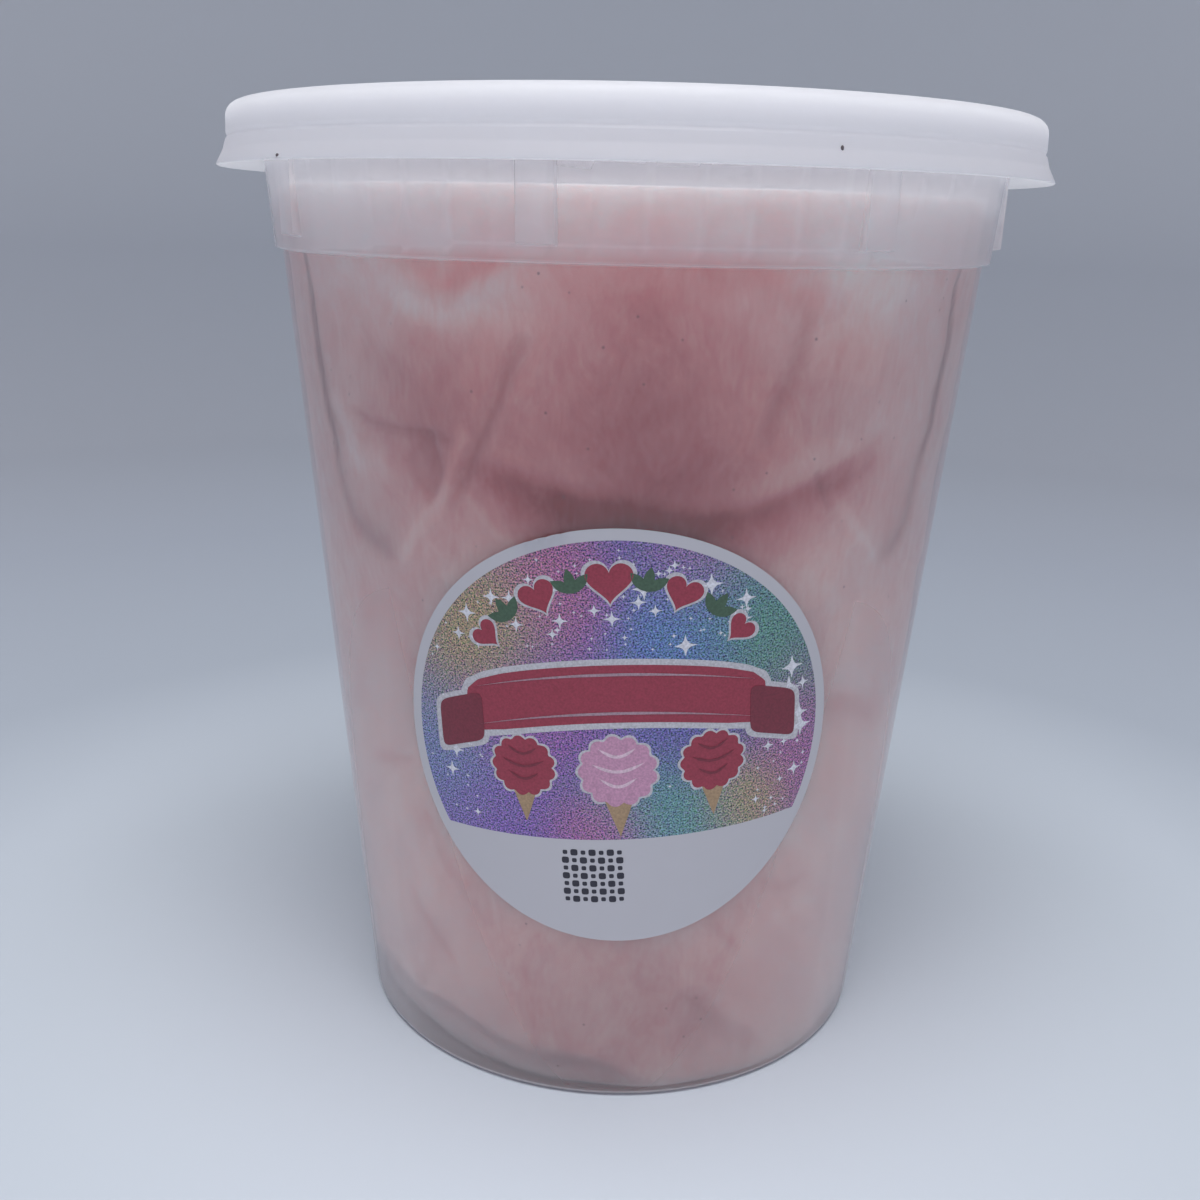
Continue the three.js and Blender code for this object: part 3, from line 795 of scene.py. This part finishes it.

# %% [markdown]
# ## Spun sugar
#
# Each fibre is clear pink sugar a few hundredths of a millimetre thick. A thin layer is nearly white, and
# deep in a fold the light has passed many fibres, so it turns a fuller rose; here that is painted into the
# colour, as painted shade, and the paler top is painted light. The rose and painted shade numbers are kept
# on the mesh and mix the colours. Light also wanders through the web, which is subsurface scattering over
# many millimetres. Fibres would be too fine to show, so they are drawn as wisps of 6 mm and threads of 0.8
# mm.

# %% Floss material
def spun_sugar(add):
    """Pink floss: matt, colour by the rose number, partly painted shade and light, and the painted shade
    number, clouds and threads from two noises, a few dark sugar specks, soft scattering, and a little sheen
    from fibre ends that catch the light at a glance."""
    place = add("TexCoord").outputs["Object"]
    rose = add("Attribute", attribute_name="rose").outputs["Fac"]
    shade = add("Attribute", attribute_name="shade").outputs["Fac"]
    laid = add("Mapping", {"Vector": place, "Rotation": (0.5, 0.35, 0.2), "Scale": (1.0, 1.0, 0.5)})
    wisps = add("TexNoise", {"Vector": laid, "Scale": 1 / (6 * MM), "Detail": 4.0, "Roughness": 0.72,
                             "Distortion": 1.4})
    drawn = add("Mapping", {"Vector": place, "Rotation": (0.55, -0.3, 0.2), "Scale": (1.0, 1.0, 0.4)})
    threads = add("TexNoise", {"Vector": drawn, "Scale": 1 / (0.8 * MM), "Detail": 2.0})
    cloud = add("MapRange", {"Value": wisps, **NOISE_SPAN, "To Min": 0.075, "To Max": -0.075})
    fine = add("MapRange", {"Value": threads, **NOISE_SPAN, "To Min": 0.03, "To Max": -0.03})
    lift = add("Math", {0: cloud, 1: fine}, operation="ADD")
    full = add("Math", {0: rose, 1: lift}, operation="ADD")
    tone = add("ValToRGB", {"Fac": full})
    ramp = tone.color_ramp
    for stop, colour in [(0.25, "#fad2cb"), (0.5, "#eba6a3"), (0.75, "#d27478")]:
        ramp.elements.new(stop).color = linear(colour)
    ramp.elements[0].color, ramp.elements[-1].color = linear("#fff4ef"), linear("#a5141f")
    specks = add("TexVoronoi", {"Vector": place, "Scale": 1 / (3.6 * MM)})
    near = add("MapRange", {"Value": specks, "From Min": 0.03, "From Max": 0.075, "To Min": 0.55,
                            "To Max": 0.0})
    # painted shade: the shade number, with the dark sugar specks, mixes the colour towards a mauve grey
    dark = add("Math", {0: shade, 1: near}, operation="ADD", use_clamp=True)
    dim = add("Mix", {0: dark, MIX_A: tone, MIX_B: linear("#6b4b53")}, data_type="RGBA")
    return add("BsdfPrincipled", {
        "Base Color": dim.outputs[MIX_COLOUR], "Roughness": 0.9, "IOR": 1.3,
        "Subsurface Weight": 0.8, "Subsurface Radius": (1.0, 0.6, 0.58), "Subsurface Scale": 14.0 * MM,
        "Sheen Weight": 0.3, "Sheen Roughness": 0.6, "Sheen Tint": linear("#ffffff")})


floss = new_material("spun_sugar_floss", spun_sugar)

# %% [markdown]
# ## The candy
#
# The side surface follows the inside of the wall less the relief, and reaches a tenth of a millimetre into
# the plastic where it touches, so that no film of air shows. Flat rows close it at the floor and under the
# lid.

# %% Candy shape
PRESS_IN = 0.1
# how far from the axis the rows of a cap lie, as parts of the side's radius
CAP_SHARES = np.array([0, 0.25, 0.5, 0.75, 0.86, 0.885, 0.93, 0.97])
FLOOR_STEP = (36.9, 38.4)  # radii between which the tub's floor steps up
RAISED_FLOOR = FLOOR_LIFT + WALL + 0.05


def with_caps(side):
    """Adds rows that shrink to the axis below the first and above the last row. Those below step up from the
    trough onto the raised middle of the tub's floor."""
    shrink = np.where([True, True, False], CAP_SHARES[:, None, None], 1)  # x and y shrink, and z stays
    low, high = side[0] * shrink, side[-1] * shrink
    low[..., 2] = np.interp(np.hypot(low[..., 0], low[..., 1]), FLOOR_STEP, (RAISED_FLOOR, CANDY_FLOOR))
    return np.concatenate([low, side, high[::-1]])


def capped(value):
    """Carries a number from the first and last rows on over the caps."""
    return np.pad(value, ((len(CAP_SHARES), len(CAP_SHARES)), (0, 0)), mode="edge")


# where the floss stands back, its fibres roughen it
candy_depth = candy_depth + np.clip(candy_depth, 0, 1) * 0.05 * waves(60, (30, 90), (3, 12))
# the inside of the wall, carried straight on through the collar, less the depth
candy_radius = wall_radius(candy_height) - WALL + PRESS_IN - candy_depth
candy_side = turned_points(candy_radius, candy_height, candy_turn)
candy = grid_piece("cotton_candy_floss", with_caps(candy_side), floss,
                   values={"rose": capped(candy_rose), "shade": capped(candy_shade)})
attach(candy, "root")
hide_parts("cotton_candy")

# %% [markdown]
# ## Sticker paper and its print
#
# The label is coated paper with a plain white margin. Its printed field is a soft rainbow of pastel glitter
# that ends at a straight edge above a white foot. The flat sheet's own coordinates, in millimetres, carry the
# pattern, so it follows the paper round the wall. Real glitter print has grains of a tenth of a millimetre;
# here they are a quarter of a millimetre, so that they still show.

# %% Label paper
LABEL_RADIUS, LABEL_HEIGHT, LABEL_TILT = 31.75, 60.4, 3.8
LABEL_THICK, LABEL_OFF = 0.12, 0.03
MARGIN = 1.6
PRINT_FOOT = -14.6  # the printed field ends this far below the middle
# painted shade: the paper is set to a grey well below its own white, for the dim light on the label's face,
# and the glitter's tints were worked out against that grey
PAPER_WHITE_WITH_PAINTED_SHADE = "#c3c0c5"


def label_paper(add):
    """Satin coated paper: its white, painted down to a grey as painted shade, outside the printed field, and
    inside it the tint kept at each point times grains that differ in brightness and a little in colour."""
    sheet = add("UVMap", uv_map="sheet")
    split = add("SeparateXYZ", {"Vector": sheet})
    out = add("VectorMath", {0: sheet}, operation="LENGTH")
    in_ring = add("Math", {0: out.outputs["Value"], 1: LABEL_RADIUS - MARGIN}, operation="LESS_THAN")
    over_foot = add("Math", {0: split.outputs["Y"], 1: PRINT_FOOT}, operation="GREATER_THAN")
    printed = add("Math", {0: in_ring, 1: over_foot}, operation="MULTIPLY")
    tint = add("Attribute", attribute_name="tint")
    grain = add("TexNoise", {"Vector": sheet, "Scale": 1 / 0.25, "Detail": 1.5})
    bright = add("MapRange", {"Value": grain, **NOISE_SPAN, "To Min": -0.62, "To Max": 1.12})
    spark = add("VectorMath", {0: grain.outputs["Color"], 1: (1.4, 1.4, 1.4), 2: bright},
                operation="MULTIPLY_ADD")
    glitter = add("Mix", {0: 1.0, MIX_A: tint.outputs["Color"], MIX_B: spark}, data_type="RGBA",
                  blend_type="MULTIPLY")
    colour = add("Mix", {0: printed, MIX_A: linear(PAPER_WHITE_WITH_PAINTED_SHADE), MIX_B: glitter.outputs[MIX_COLOUR]},
                 data_type="RGBA")
    return add("BsdfPrincipled", {"Base Color": colour.outputs[MIX_COLOUR], "Roughness": 0.5})


sticker_paper = new_material("coated_sticker_paper", label_paper)

# %% [markdown]
# ## Laying the sticker on a tapered wall
#
# A tapered wall is part of a cone, and a cone unrolls flat without stretching. So the flat sticker is laid on
# it exactly: a point keeps its distance from the cone's tip, and its angle there grows by one over the sine
# of the taper. A stretched or projected disc would come out oval. Near its top the rim has come loose in a
# few wrinkles.

# %% Label shape
WRINKLE_AT, WRINKLE_WIDE = -8.6, 3.2  # middle and half width of the loose stretch of rim


def on_wall(across, up, proud):
    """Places points of the flat label, in mm from its middle, on the wall, proud mm in front of it."""
    right, rise = leaned(across, up, LABEL_TILT)
    sine = math.sin(math.atan(TAPER))
    tip = wall_radius(LABEL_HEIGHT) / sine
    slant = np.hypot(right, tip + rise)
    turn = np.arctan2(right, tip + rise) / sine
    height = LABEL_HEIGHT + (slant - tip) * math.cos(math.atan(TAPER))
    return turned_points(slant * sine + proud, height, turn)


def wrinkle(across, up):
    """How far the rim stands off the wall: a few narrow waves under a bell curve, only near the top edge."""
    stretch = np.exp(-(((across - WRINKLE_AT) / WRINKLE_WIDE) ** 4))
    near_rim = hump((LABEL_RADIUS - np.hypot(across, up)) / 0.9) * (up > 0)
    return 0.8 * stretch * near_rim * (0.6 + 0.4 * np.sin(across * 3.1 + 1.0))


def label_points():
    """Back of the sheet from the middle to the rim, then its face from the rim back to the middle."""
    share = np.append(np.linspace(0, 0.94, 30), [0.96, 0.98, 0.99, 1.0])
    radius = LABEL_RADIUS * np.concatenate([share, share[::-1]])
    face = np.concatenate([np.zeros_like(share), np.ones_like(share)])
    angle, ring = np.meshgrid(even_turns(300), radius)
    across, up = ring * np.cos(angle), ring * np.sin(angle)
    proud = LABEL_OFF + LABEL_THICK * face[:, None] + wrinkle(across, up)
    return on_wall(across, up, proud), np.stack([across, up], axis=-1)


# the ground and its weight, and each soft patch over it: middle and half size in mm, lean, and colour
GROUND_TINT, GROUND_SHARE = "#7065a4", 0.35
TINTS = [(-20, 17, 8, 13, -35, "#b3a062"), (22, 15, 8, 15, 30, "#5f9a7c"), (-8, 25, 6, 9, 20, "#b36894"),
         (9, 17, 7, 10, -30, "#5f88b8"), (-26, -2, 7, 10, 10, "#7c8fb4"), (-12, 3, 9, 7, 0, "#9d68a4"),
         (27, -3, 6, 10, 0, "#b06898"), (-19, -12, 8, 6, 20, "#8a6aae"), (7, -11, 9, 6, -20, "#62a096"),
         (19, -11, 6, 6, 0, "#b3a066"), (-3, -13, 6, 5, 0, "#b16c98"), (12, 27, 6, 6, 0, "#a46aa0")]


def label_tint(across, up):
    """Each patch is a bell curve, turned by its lean; the patches' colours are averaged with the ground's,
    each by its own bell's height."""
    weight = np.full(across.shape, GROUND_SHARE)
    total = weight[..., None] * np.array(linear(GROUND_TINT))
    for x, y, wide, tall, lean, colour in TINTS:
        right, rise = leaned(across - x, up - y, -lean)
        share = hump(right / wide) * hump(rise / tall)
        total, weight = total + share[..., None] * np.array(linear(colour)), weight + share
    return total / weight[..., None]


label_grid, label_sheet = label_points()
label = grid_piece("paper_label", label_grid, sticker_paper, flat=label_sheet, sharp_degrees=40,
                   values={"tint": label_tint(label_sheet[..., 0], label_sheet[..., 1])})
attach(label, "root")
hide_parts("label")

# %% [markdown]
# ## Printed shapes
#
# The print's motifs are a blank ribbon, hearts, leaf sprigs, puffs of floss on paper cones and stars. Each is
# a flat outline round a middle point, given by a distance for every angle. It is laid on the wall as a disc
# of rings with a thickness of ink, and all discs of one ink are joined into one mesh. Each colour lies a
# little in front of the one below it.

# %% Ink helpers
INK_STEP = 0.022  # mm between one layer of print and the next
ANGLES = even_turns(96)


def printing_ink(add, hex_colour):
    """Matt printing ink, flecked like the glitter round it."""
    place = add("TexCoord").outputs["Object"]
    grain = add("TexNoise", {"Vector": place, "Scale": 1 / (0.32 * MM), "Detail": 1.5})
    fleck = add("MapRange", {"Value": grain, **NOISE_SPAN, "To Min": 0.84, "To Max": 1.16})
    colour = add("Mix", {0: 1.0, MIX_A: linear(hex_colour), MIX_B: fleck}, data_type="RGBA",
                 blend_type="MULTIPLY")
    return add("BsdfPrincipled", {"Base Color": colour.outputs[MIX_COLOUR], "Roughness": 0.5})


def super_ellipse(half_wide, half_tall, power=2.0, angles=ANGLES):
    """An ellipse, or with a higher power a rounded rectangle: |x/a|^p + |y/b|^p = 1."""
    x, y = np.cos(angles), np.sin(angles)
    far = (np.abs(x / half_wide) ** power + np.abs(y / half_tall) ** power) ** (-1 / power)
    return np.stack([far * x, far * y], axis=-1)


def heart(size):
    """A heart: x = 16 sin^3 t, y = 13 cos t - 5 cos 2t - 2 cos 3t - cos 4t, brought to a half width of
    size."""
    t = ANGLES
    y = 13 * np.cos(t) - 5 * np.cos(2 * t) - 2 * np.cos(3 * t) - np.cos(4 * t)
    return np.stack([16 * np.sin(t) ** 3, y + 2.5], axis=-1)[::-1] * size / 16


def puff(size, lobes, deep=0.07):
    """A cloud: a circle whose radius swells in as many round lobes."""
    far = size * (1 - deep + deep * 2 * np.abs(np.sin(lobes * ANGLES / 2)) ** 0.8)
    return np.stack([far * np.cos(ANGLES), far * np.sin(ANGLES)], axis=-1)


def star(size):
    """A four-pointed star: |x|^p + |y|^p = 1 with a power below one draws its sides inwards."""
    return super_ellipse(size, size, 0.5, ANGLES[::4])


def leaf(long, wide):
    """A pointed leaf: two shallow parabolas that meet at its tips."""
    t = np.linspace(-1, 1, 13)
    edge = np.stack([t * long / 2, wide / 2 * (1 - t**2)], axis=-1)
    return np.concatenate([edge[:-1], (edge * [1, -1])[::-1][:-1]])


def cone_shape(wide, tall):
    """A paper cone, point down: a plain triangle with its points evenly spaced along each side."""
    share = np.linspace(0, 1, 12, endpoint=False)[:, None]
    corners = np.array([(-wide / 2, tall / 2), (0, -tall / 2), (wide / 2, tall / 2)])
    return np.concatenate([a + share * (b - a) for a, b in zip(corners, np.roll(corners, -1, axis=0))])


def turned(outline, degrees):
    """Turns an outline about its own middle."""
    return np.stack(leaned(*outline.T, degrees), axis=-1)


def even_steps(outline, longest=0.9):
    """Spaces an outline's points evenly along it, if any two are further apart than longest mm, so that its
    long sides still bend with the wall."""
    closed = np.vstack([outline, outline[:1]])
    steps = np.linalg.norm(np.diff(closed, axis=0), axis=-1)
    if steps.max() <= longest:
        return outline
    reached = np.concatenate([[0], np.cumsum(steps)])
    spots = np.linspace(0, reached[-1], math.ceil(reached[-1] / (0.6 * longest)), endpoint=False)
    return np.stack([np.interp(spots, reached, column) for column in closed.T], axis=-1)


def ink_piece(name, discs, material, layer):
    """discs are (outline, middle, bow): every outline is filled with rings about 1.2 mm apart and moved to
    its middle. bow bends it: each point drops by bow times its distance from the label's centre line,
    squared."""
    vertices, faces, count = [], [], 0
    for outline, middle, bow in discs:
        outline = even_steps(outline)
        rings = max(2, math.ceil(np.linalg.norm(outline, axis=-1).max() / 1.2) + 1)
        share = np.linspace(0, 1, rings)[1:, None, None]
        flat = (share * outline[None]).reshape(-1, 2)
        flat = np.vstack([flat, [[0, 0]]]) + middle
        flat[:, 1] -= bow * flat[:, 0] ** 2
        sides, last = len(outline), len(flat) - 1
        across = np.arange(sides)
        beside = (across + 1) % sides
        quads = np.roll(grid_quads(rings - 1, sides)[:, ::-1], 1, axis=1)
        fan = np.stack([np.full(sides, last), across, beside], axis=-1)
        rim = (rings - 2) * sides
        front = on_wall(flat[:, 0], flat[:, 1], LABEL_OFF + LABEL_THICK + layer * INK_STEP)
        back = on_wall(flat[:, 0], flat[:, 1], LABEL_OFF + LABEL_THICK - 0.5 * INK_STEP)
        behind = count + len(flat)
        wall = np.stack([count + rim + across, behind + rim + across, behind + rim + beside,
                         count + rim + beside], axis=-1)
        vertices += [front, back]
        faces += (quads + count).tolist() + (fan + count).tolist() + wall.tolist()
        faces += (quads[:, ::-1] + behind).tolist() + (fan[:, ::-1] + behind).tolist()
        count += 2 * len(flat)
    piece = new_piece(name, np.vstack(vertices), faces, material)
    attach(piece, "root")
    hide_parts("label")


# %% [markdown]
# ## The label's design
#
# A plain deep red ribbon bows across the field, with hearts and leaf sprigs in an arch above it and three
# puffs of floss on paper cones below. White stars of many sizes are scattered over the rest. In the white
# foot stands a small block of plain dots.

# %% Ribbon, hearts and sprigs
RIBBON_BOW = 0.0075
RIBBON_AT = (0.0, 8.2)
white, red, deep_red, pink, green, dark, tan, pale, stars = ([] for _ in range(9))  # the discs of each ink

white.append((super_ellipse(22.3, 5.2, 7.0), RIBBON_AT, RIBBON_BOW))
red.append((super_ellipse(21.4, 4.3, 7.0), RIBBON_AT, RIBBON_BOW))
for hand in (-1, 1):
    white.append((super_ellipse(4.4, 4.5, 7.0), (hand * 22.6, 6.4), RIBBON_BOW))
    deep_red.append((super_ellipse(3.6, 3.7, 7.0), (hand * 22.6, 6.4), RIBBON_BOW))
    for up in (2.9, -2.9):
        pale.append((super_ellipse(19.6, 0.2, 6.0), (0.0, RIBBON_AT[1] + up), RIBBON_BOW))

HEART_ARCH = 22.6
for degrees, size in ((140, 2.1), (115, 2.6), (90, 3.2), (65, 2.6), (40, 2.1)):
    at = leaned(HEART_ARCH, 0, degrees) + np.array((0, 1.5))
    white.append((turned(heart(size + 0.5), degrees - 90), at, 0))
    red.append((turned(heart(size), degrees - 90), at, 0))
for degrees in (127.5, 102.5, 77.5, 52.5):
    at = leaned(HEART_ARCH, 0, degrees) + np.array((0, 1.0))
    for lean, out in ((-38, -1.5), (38, 1.5), (90, 1.5)):
        way = degrees - 90 + lean
        green.append((turned(leaf(3.6, 1.5), way), at + leaned(out, 0, way), 0))

# %% Floss puffs, stars and the block in the foot
for across, size, ink in ((-13.4, 4.4, red), (0.0, 5.2, pink), (13.4, 4.4, red)):
    middle = 1.5 - size - (0.4 if across else 0.0)
    tan.append((cone_shape(size * 0.9, size * 1.3), (across, middle - size * 1.35), 0))
    white.append((puff(size + 0.35, 13), (across, middle), 0))
    ink.append((puff(size, 13), (across, middle), 0))
    swirls = deep_red if ink is red else pale
    for lift, long in ((0.45, 0.5), (0.0, 0.72), (-0.45, 0.5)):
        curl = super_ellipse(size * long, size * 0.045, 2.0)
        curl[:, 1] += size * 0.25 * (curl[:, 0] / (size * long)) ** 2
        swirls.append((curl, (across, middle + lift * size), 0.0))

scatter = np.random.default_rng(3)
STAR_COUNT = 150
# middle and half size of what the stars keep clear of: the ribbon and the three puffs
taken = [(0, 8.2, 24.5, 6.2), (-13.4, -6, 6, 8), (0, -6, 7, 9), (13.4, -6, 6, 8)]
while len(stars) < STAR_COUNT:
    spot = scatter.uniform(-29, 29, 2)
    size = 0.28 + 1.9 * scatter.random() ** 5
    inside = np.hypot(*spot) < LABEL_RADIUS - MARGIN - size - 0.4 and spot[1] > PRINT_FOOT + size + 0.4
    covered = any(abs(spot[0] - x) < wide and abs(spot[1] - y) < tall for x, y, wide, tall in taken)
    if inside and not covered:
        stars.append((star(size), spot, 0))

BLOCK_AT, CELL = (-4.2, -20.6), 1.3
for row in range(-3, 4):
    for column in range(-3, 4):
        middle = (BLOCK_AT[0] + column * CELL, BLOCK_AT[1] + row * CELL)
        wide = 0.52 if (row + column) % 2 else 0.34  # big and small dots take turns
        dark.append((super_ellipse(wide, wide, 4.0, ANGLES[::4]), middle, 0))

# each piece's name, its discs, its ink and colour, and its layer
PRINT = [
    ("print_stars", stars, "white_ink", "#dcdbe2", 1),
    # painted shade: the outlines are in the same greyed paper white
    ("print_outlines", white, "paper_white_ink_with_painted_shade", PAPER_WHITE_WITH_PAINTED_SHADE, 1),
    ("print_cones", tan, "tan_ink", "#a98d6e", 1.5),
    ("print_red", red, "red_ink", "#99384a", 2),
    ("print_pink", pink, "pink_ink", "#c592ad", 3),
    ("print_pale_lines", pale, "pale_pink_ink", "#dcc0cd", 4),
    ("print_deep_red", deep_red, "deep_red_ink", "#7a2e3d", 4),
    ("print_leaves", green, "leaf_green_ink", "#47604c", 2),
    ("print_block", dark, "dark_ink", "#2c2a37", 1),
]
for name, discs, ink, colour, layer in PRINT:
    ink_piece(name, discs, new_material(ink, printing_ink, colour), layer)

# %% [markdown]
# ## Floor, backdrop and light
#
# A pale seamless floor that curves up into a wall, one large soft lamp overhead and a dim cool sky. The lamp
# only grazes the front of the tub, which is lit mostly by what the floor throws back. The paper's tone goes
# by its distance from the tub, and that is painted light: a pool of light painted on the sweep, pale round
# the tub's foot, where it lightens the tub's shadow, darkest at 0.19 m, and paler again towards the wall.

# %% Stage
# painted light: the paper's tone at each distance from the axis in metres, a painted pool of light
STAGE_PAINTED_LIGHT_TONES = [(0.10, "#bcc3cc"), (0.19, "#aab1bc"), (0.35, "#b1b7c3"), (0.6, "#c2c6d0"), (0.85, "#c2c6d0")]


def seamless_paper(add):
    """Matt paper whose colour goes by the distance from the axis in metres, as painted light: pale under the
    tub, where it lightens the tub's shadow, darkest at 0.19 m, and paler again towards the wall."""
    place = add("TexCoord").outputs["Object"]
    flat = add("VectorMath", {0: place, 1: (1.0, 1.0, 0.0)}, operation="MULTIPLY")
    away = add("VectorMath", {0: flat}, operation="LENGTH")
    tone = add("ValToRGB", {"Fac": away.outputs["Value"]})
    ramp = tone.color_ramp
    for metres, colour in STAGE_PAINTED_LIGHT_TONES:
        ramp.elements.new(metres).color = linear(colour)
    # painted light: pale right round the tub's foot, where it lightens the tub's shadow
    ramp.elements[0].position, ramp.elements[0].color = 0.045, linear("#cdd3dc")
    ramp.elements[-1].color = linear("#dfe2e9")
    return add("BsdfDiffuse", {"Color": tone})


def stage_floor():
    """A round cove: a flat disc, a quarter turn upwards, and a wall."""
    profile = rounded([(0, -0.02, 0), (1000, -0.02, 500), (1000, 950, 0)], arc_points=40)
    points = turned_profile(profile, even_turns(128))
    faces = grid_quads(*points.shape[:2]).tolist()
    paper = new_material("seamless_paper", seamless_paper)
    cove = new_piece("stage_cove", points.reshape(-1, 3), faces, paper)
    cove.data.shade_smooth()


stage_floor()

# %% Lamp and sky
overhead = bpy.data.lights.new("overhead", "AREA")
overhead.size, overhead.energy = 0.5, 7.8
lamp = bpy.data.objects.new("overhead", overhead)
lamp.location = (0.0, -0.2, 0.85)
lamp.rotation_euler = (math.atan2(-0.2, 0.85), 0.0, 0.0)  # it leans towards the floor before the tub
bpy.context.collection.objects.link(lamp)

world = bpy.data.worlds.new("cool_sky")
world.use_nodes = True
sky = world.node_tree.nodes["Background"].inputs
sky["Color"].default_value, sky["Strength"].default_value = linear("#d4d8e0"), 0.28
bpy.context.scene.world = world
bpy.context.scene.view_settings.view_transform = "Standard"
